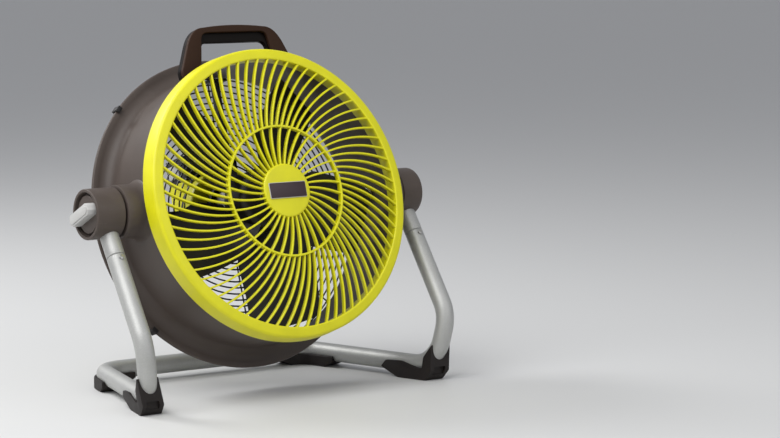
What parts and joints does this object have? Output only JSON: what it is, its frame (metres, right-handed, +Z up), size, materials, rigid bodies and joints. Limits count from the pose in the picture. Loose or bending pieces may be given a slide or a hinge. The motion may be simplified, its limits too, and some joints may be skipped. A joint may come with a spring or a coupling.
{
  "type": "drum fan",
  "caption": "Portable drum fan: a round head with a swept front guard tilts between two pivots on a bent tube stand, with a carry handle and a battery bay.",
  "frame": {"origin": "on the floor, under the middle of the whole fan at rest", "axes": "+X to the fan's right as seen from the front, -Y the way the air blows, +Z up"},
  "size_m": [0.47, 0.2576, 0.4314],
  "materials": {
    "lime_plastic": "moulded plastic, satin",
    "graphite_plastic": "moulded plastic, satin",
    "black_plastic": "moulded plastic, matt",
    "black_wire": "powder-coated wire",
    "foot_rubber": "hard moulded rubber, matt",
    "pale_grey_plastic": "moulded plastic, fine grain",
    "silver_tube": "satin silver paint on steel tube",
    "plated_steel": "zinc-plated steel",
    "copper_alloy": "copper winding and contacts",
    "circuit_board": "coated board"
  },
  "bodies": {
    "stand": {"leg_frame": "silver_tube", "leg_stub_left": "silver_tube", "leg_stub_right": "silver_tube", "leg_screw_left": "plated_steel", "leg_screw_right": "plated_steel", "pivot_housing_left": "graphite_plastic", "pivot_housing_right": "graphite_plastic", "friction_washer_left": "black_plastic", "friction_washer_right": "black_plastic", "front_boot_left": "foot_rubber", "front_boot_right": "foot_rubber", "rear_pad_left": "foot_rubber", "rear_pad_right": "foot_rubber"},
    "lock_knob": {"tilt_knob": "pale_grey_plastic"},
    "head": {"drum_shell": "graphite_plastic", "front_guard": "lime_plastic", "badge_plate": "black_plastic", "rear_guard": "black_wire", "rim_clip_1": "black_wire", "rim_clip_2": "black_wire", "rim_clip_3": "black_wire", "rim_clip_4": "black_wire", "pivot_boss_left": "graphite_plastic", "pivot_boss_right": "graphite_plastic", "pivot_bolt_left": "plated_steel", "pivot_bolt_right": "plated_steel", "pivot_nut_right": "plated_steel", "handle_front_shell": "graphite_plastic", "handle_rear_shell": "black_plastic", "handle_screw_left": "plated_steel", "handle_screw_right": "plated_steel", "motor_can": "plated_steel", "motor_end_plate": "plated_steel", "motor_stator": "copper_alloy", "bearing_front": "plated_steel", "bearing_rear": "plated_steel", "motor_bracket": "black_plastic", "pod_housing": "lime_plastic", "control_board": "circuit_board", "battery_dock": "black_plastic", "dock_terminals": "copper_alloy"},
    "rotor": {"fan_blade": "black_plastic", "motor_shaft": "plated_steel", "motor_rotor": "plated_steel", "blade_nut": "plated_steel"},
    "dial": {"speed_dial": "pale_grey_plastic"},
    "battery": {"battery_pack": "lime_plastic", "battery_cap": "black_plastic"},
    "latch_left": {"battery_latch_left": "pale_grey_plastic"},
    "latch_right": {"battery_latch_right": "pale_grey_plastic"}
  },
  "joints": [
    {"name": "head_tilt", "type": "hinge", "parent": "stand", "child": "head", "pos_m": [0.008, -0.02252, 0.222], "axis": [1, 0, 0], "range_deg": [-73, 107]},
    {"name": "fan_spin", "type": "hinge", "parent": "head", "child": "rotor", "pos_m": [0.008, -0.02252, 0.222], "axis": [0, -0.9563, 0.2924], "continuous": true},
    {"name": "tilt_lock_turn", "type": "hinge", "parent": "stand", "child": "lock_knob", "pos_m": [-0.227, -0.02252, 0.222], "axis": [-1, 0, 0], "range_deg": [0, 120]},
    {"name": "speed_dial_turn", "type": "hinge", "parent": "head", "child": "dial", "pos_m": [0.008, 0.05053, 0.15313], "axis": [0, 0.9563, -0.2924], "range_deg": [0, 270]},
    {"name": "battery_slide", "type": "slide", "parent": "head", "child": "battery", "axis": [0, 0.2924, 0.9563], "range_m": [0, 0.095]},
    {"name": "latch_left_press", "type": "slide", "parent": "battery", "child": "latch_left", "axis": [1, 0, 0], "range_m": [0, 0.003], "stiffness_N_per_m": 400, "springref_m": -0.002},
    {"name": "latch_right_press", "type": "slide", "parent": "battery", "child": "latch_right", "axis": [-1, 0, 0], "range_m": [0, 0.003], "stiffness_N_per_m": 400, "springref_m": -0.002}
  ]
}
